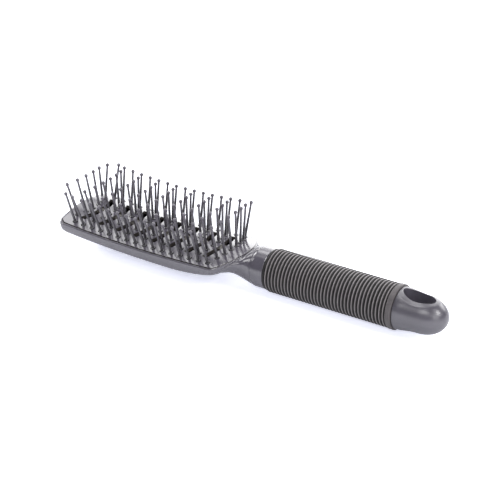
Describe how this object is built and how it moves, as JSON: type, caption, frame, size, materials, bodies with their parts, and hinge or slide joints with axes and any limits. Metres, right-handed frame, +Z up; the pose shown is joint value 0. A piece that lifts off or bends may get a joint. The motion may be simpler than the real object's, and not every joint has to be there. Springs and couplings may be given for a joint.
{
  "type": "vent brush",
  "caption": "Vent hair brush with a curved vented head, ball-tipped pins on moulded strips, a waisted neck, a ribbed rubber grip and a rounded end cap with a hang hole.",
  "frame": {"origin": "middle of the brush's length and width, on the surface that it lies on, pins up", "axes": "+X along the brush from the toe of the head to the end cap, +Z up through the pins, +Y across the head"},
  "size_m": [0.2469, 0.0524, 0.0419],
  "materials": {
    "body_plastic": "smooth moulded, glossy",
    "face_plastic": "smooth moulded, glossy",
    "pin_nylon": "smooth moulded nylon, semi-gloss",
    "grip_rubber": "soft satin rubber with turned ribs",
    "cap_plastic": "smooth moulded, semi-gloss"
  },
  "bodies": {
    "root": {"body": "body_plastic", "face_plate": "face_plastic", "grip_sleeve": "grip_rubber", "end_cap": "cap_plastic", "cross_pin_strip_1": "pin_nylon", "cross_pin_strip_2": "pin_nylon", "cross_pin_strip_3": "pin_nylon", "cross_pin_strip_4": "pin_nylon", "cross_pin_strip_5": "pin_nylon", "cross_pin_strip_6": "pin_nylon", "cross_pin_strip_7": "pin_nylon", "cross_pin_strip_8": "pin_nylon", "cross_pin_strip_9": "pin_nylon", "side_pin_strip_near": "pin_nylon", "side_pin_strip_far": "pin_nylon"}
  },
  "joints": []
}
